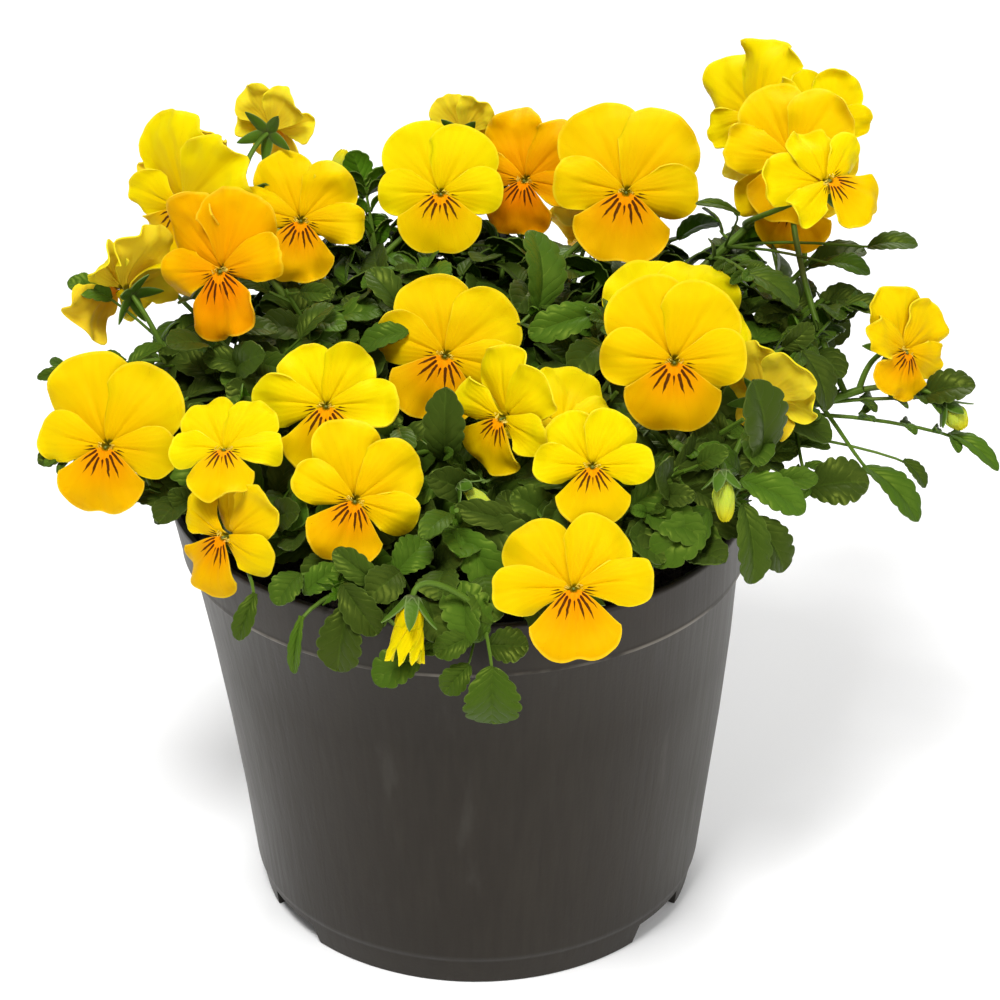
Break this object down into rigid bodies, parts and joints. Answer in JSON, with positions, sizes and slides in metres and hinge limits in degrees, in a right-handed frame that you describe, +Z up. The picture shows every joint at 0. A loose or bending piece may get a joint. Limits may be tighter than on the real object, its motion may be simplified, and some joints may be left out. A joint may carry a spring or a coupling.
{
  "type": "potted pansy planter",
  "caption": "Yellow pansy plant in full bloom in a thin round plastic nursery pot with a collar band and a notched foot.",
  "frame": {"origin": "middle of the pot's flat underside, on the surface it stands on", "axes": "+Z up along the pot, -Y towards the front that the picture shows, +X to the right"},
  "size_m": [0.2761, 0.2208, 0.2412],
  "materials": {
    "pot_plastic": "dark grey-brown thin moulded polypropylene, satin, with fine upright flow streaks",
    "potting_soil": "moist dark peat and bark potting mix, rough",
    "petals_lemon": "lemon yellow petals, soft sheen, with dark lines at the throat",
    "petals_golden": "golden yellow petals, soft sheen, with dark lines at the throat",
    "petals_orange": "orange yellow petals, soft sheen, with dark lines at the throat",
    "foliage": "mid to dark green leaves and stems, satin"
  },
  "bodies": {
    "root": {"pot": "pot_plastic", "soil": "potting_soil", "bloom_01": "petals_golden", "bloom_02": "petals_lemon", "bloom_03": "petals_golden", "bloom_04": "petals_lemon", "bloom_05": "petals_orange", "bloom_06": "petals_golden", "bloom_07": "petals_lemon", "bloom_08": "petals_lemon", "bloom_09": "petals_lemon", "bloom_10": "petals_orange", "bloom_11": "petals_golden", "bloom_12": "petals_golden", "bloom_13": "petals_lemon", "bloom_14": "petals_lemon", "bloom_15": "petals_golden", "bloom_16": "petals_lemon", "bloom_17": "petals_lemon", "bloom_18": "petals_golden", "bloom_19": "petals_golden", "bloom_20": "petals_lemon", "bloom_21": "petals_lemon", "bloom_22": "petals_lemon", "bloom_23": "petals_golden", "bloom_24": "petals_lemon", "bloom_25": "petals_golden", "bloom_26": "petals_lemon", "bloom_27": "petals_lemon", "bloom_28": "petals_lemon", "bloom_29": "petals_golden", "bloom_30": "petals_golden", "bloom_31": "petals_lemon", "bloom_32": "petals_golden", "bud_hanging": "petals_lemon", "bud_low": "petals_lemon", "bud_middle": "petals_lemon", "bud_top": "petals_lemon", "bud_far_right": "petals_lemon", "leafy_stem_front_left": "foliage", "leafy_stem_left": "foliage", "leafy_stem_upper_left": "foliage", "leafy_stem_top_left": "foliage", "leafy_stem_top_right": "foliage", "leafy_stem_tall_right": "foliage", "leafy_stem_right": "foliage", "leafy_stem_right_middle": "foliage", "leafy_stem_middle": "foliage", "leafy_stem_left_middle": "foliage", "leafy_stem_low_left": "foliage", "leafy_stem_front_middle": "foliage", "leafy_stem_back_left": "foliage", "leafy_stem_back_right": "foliage", "leafy_stem_low_right": "foliage", "leafy_stem_front": "foliage", "leafy_stem_far_right": "foliage", "leafy_stem_front_low": "foliage"}
  },
  "joints": []
}
